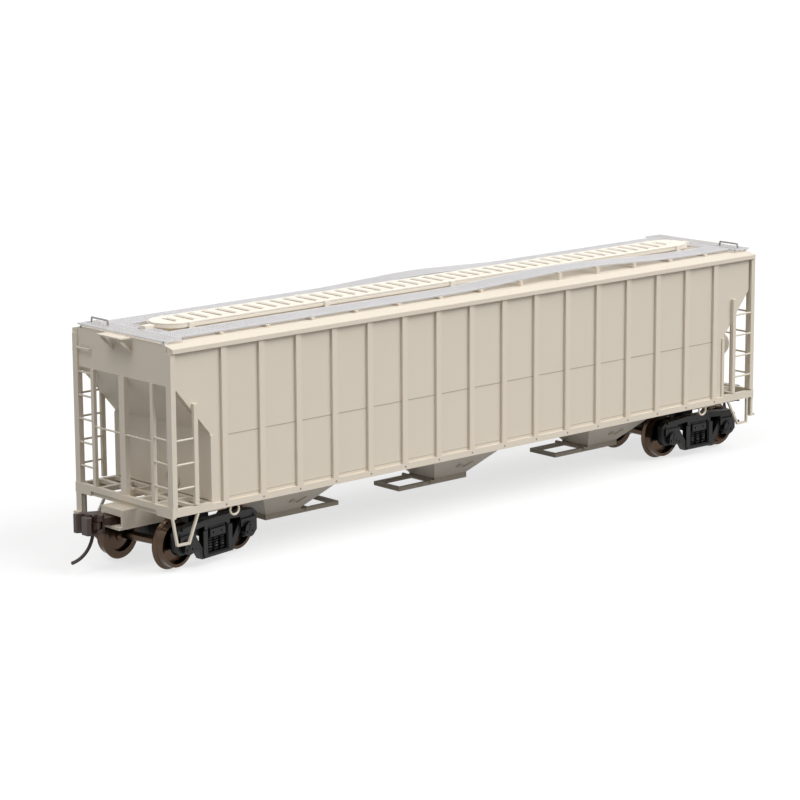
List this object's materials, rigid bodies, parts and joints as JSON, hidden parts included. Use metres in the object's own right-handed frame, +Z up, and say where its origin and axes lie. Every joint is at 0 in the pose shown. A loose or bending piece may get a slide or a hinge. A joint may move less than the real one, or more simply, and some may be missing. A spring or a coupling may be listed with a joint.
{
  "type": "covered hopper railway car scale model",
  "caption": "Scale model of a ribbed covered hopper car with a trough roof hatch, discharge bays, end platforms with ladders, swivelling trucks and couplers.",
  "frame": {"origin": "centre of the bounding box on the surface that the wheel flanges stand on", "axes": "+X along the car towards the brake end, +Y across to the left, +Z up"},
  "size_m": [0.2188, 0.0372, 0.0547],
  "materials": {
    "body_paint": "satin light grey-beige paint on moulded plastic",
    "hatch_plastic": "satin cream moulded plastic",
    "truck_plastic": "satin black moulded plastic",
    "coupler_plastic": "dark brown moulded plastic",
    "wheel_metal": "turned metal with a dark bronze plating",
    "board_metal": "thin etched metal, pale grey",
    "wire": "bare drawn wire",
    "blackened_steel": "blackened steel wire",
    "plain_steel": "plain steel"
  },
  "bodies": {
    "car_body": {"air_reservoir": "body_paint", "ballast_weights": "plain_steel", "board_brackets": "body_paint", "brake_valve": "body_paint", "bulkhead_a": "body_paint", "bulkhead_b": "body_paint", "centre_sill": "body_paint", "draft_box_a": "body_paint", "draft_box_b": "body_paint", "end_posts_a": "body_paint", "end_posts_b": "body_paint", "end_sheet_a": "body_paint", "end_sheet_b": "body_paint", "end_step_a": "board_metal", "end_step_b": "board_metal", "end_walkway_a": "board_metal", "end_walkway_b": "board_metal", "floor_plates": "body_paint", "hand_brake": "body_paint", "handrails": "body_paint", "hatch_clamps": "hatch_plastic", "hatch_cover": "hatch_plastic", "hopper_bay_1": "body_paint", "hopper_bay_2": "body_paint", "hopper_bay_3": "body_paint", "ladders_a": "body_paint", "ladders_b": "body_paint", "outlet_gate_1": "body_paint", "outlet_gate_2": "body_paint", "outlet_gate_3": "body_paint", "platform_a": "body_paint", "platform_b": "body_paint", "ridge_sheets": "body_paint", "roof": "body_paint", "roof_grabs": "wire", "running_board_left": "board_metal", "running_board_right": "board_metal", "side_left": "body_paint", "side_right": "body_paint", "sill_steps": "body_paint", "slope_sheet_a": "body_paint", "slope_sheet_b": "body_paint", "tie_rings": "body_paint", "truck_screws": "plain_steel"},
    "truck_a": {"truck_a_bolster": "truck_plastic", "truck_a_side_frames": "truck_plastic", "truck_a_springs": "truck_plastic"},
    "wheelset_a_outer": {"wheelset_a_outer": "wheel_metal"},
    "wheelset_a_inner": {"wheelset_a_inner": "wheel_metal"},
    "coupler_a": {"coupler_a": "coupler_plastic", "trip_pin_a": "blackened_steel"},
    "knuckle_a": {"knuckle_a": "coupler_plastic"},
    "truck_b": {"truck_b_bolster": "truck_plastic", "truck_b_side_frames": "truck_plastic", "truck_b_springs": "truck_plastic"},
    "wheelset_b_outer": {"wheelset_b_outer": "wheel_metal"},
    "wheelset_b_inner": {"wheelset_b_inner": "wheel_metal"},
    "coupler_b": {"coupler_b": "coupler_plastic", "trip_pin_b": "blackened_steel"},
    "knuckle_b": {"knuckle_b": "coupler_plastic"}
  },
  "joints": [
    {"name": "truck_a_swivel", "type": "hinge", "parent": "car_body", "child": "truck_a", "pos_m": [-0.08105, 0, 0.0116], "axis": [0, 0, 1], "range_deg": [-21.2, 0.8]},
    {"name": "wheelset_a_outer_roll", "type": "hinge", "parent": "truck_a", "child": "wheelset_a_outer", "pos_m": [-0.09109, -0.00181, 0.00594], "axis": [-0.1771, 0.9842, 0], "continuous": true},
    {"name": "wheelset_a_inner_roll", "type": "hinge", "parent": "truck_a", "child": "wheelset_a_inner", "pos_m": [-0.07101, 0.00181, 0.00594], "axis": [-0.1771, 0.9842, 0], "continuous": true},
    {"name": "coupler_a_swing", "type": "hinge", "parent": "car_body", "child": "coupler_a", "pos_m": [-0.0905, 0, 0.01125], "axis": [0, 0, 1], "range_deg": [-8, 8], "stiffness_Nm_per_rad": 0.00005},
    {"name": "knuckle_a_open", "type": "hinge", "parent": "coupler_a", "child": "knuckle_a", "pos_m": [-0.1045, -0.0019, 0.01125], "axis": [0, 0, 1], "range_deg": [0, 25], "stiffness_Nm_per_rad": 0.000002},
    {"name": "truck_b_swivel", "type": "hinge", "parent": "car_body", "child": "truck_b", "pos_m": [0.08105, 0, 0.0116], "axis": [0, 0, 1], "range_deg": [-9.8, 12.2]},
    {"name": "wheelset_b_outer_roll", "type": "hinge", "parent": "truck_b", "child": "wheelset_b_outer", "pos_m": [0.09125, -0.00021, 0.00594], "axis": [0.0209, 0.9998, 0], "continuous": true},
    {"name": "wheelset_b_inner_roll", "type": "hinge", "parent": "truck_b", "child": "wheelset_b_inner", "pos_m": [0.07085, 0.00021, 0.00594], "axis": [0.0209, 0.9998, 0], "continuous": true},
    {"name": "coupler_b_swing", "type": "hinge", "parent": "car_body", "child": "coupler_b", "pos_m": [0.0905, 0, 0.01125], "axis": [0, 0, 1], "range_deg": [-8, 8], "stiffness_Nm_per_rad": 0.00005},
    {"name": "knuckle_b_open", "type": "hinge", "parent": "coupler_b", "child": "knuckle_b", "pos_m": [0.1045, 0.0019, 0.01125], "axis": [0, 0, 1], "range_deg": [0, 25], "stiffness_Nm_per_rad": 0.000002}
  ]
}
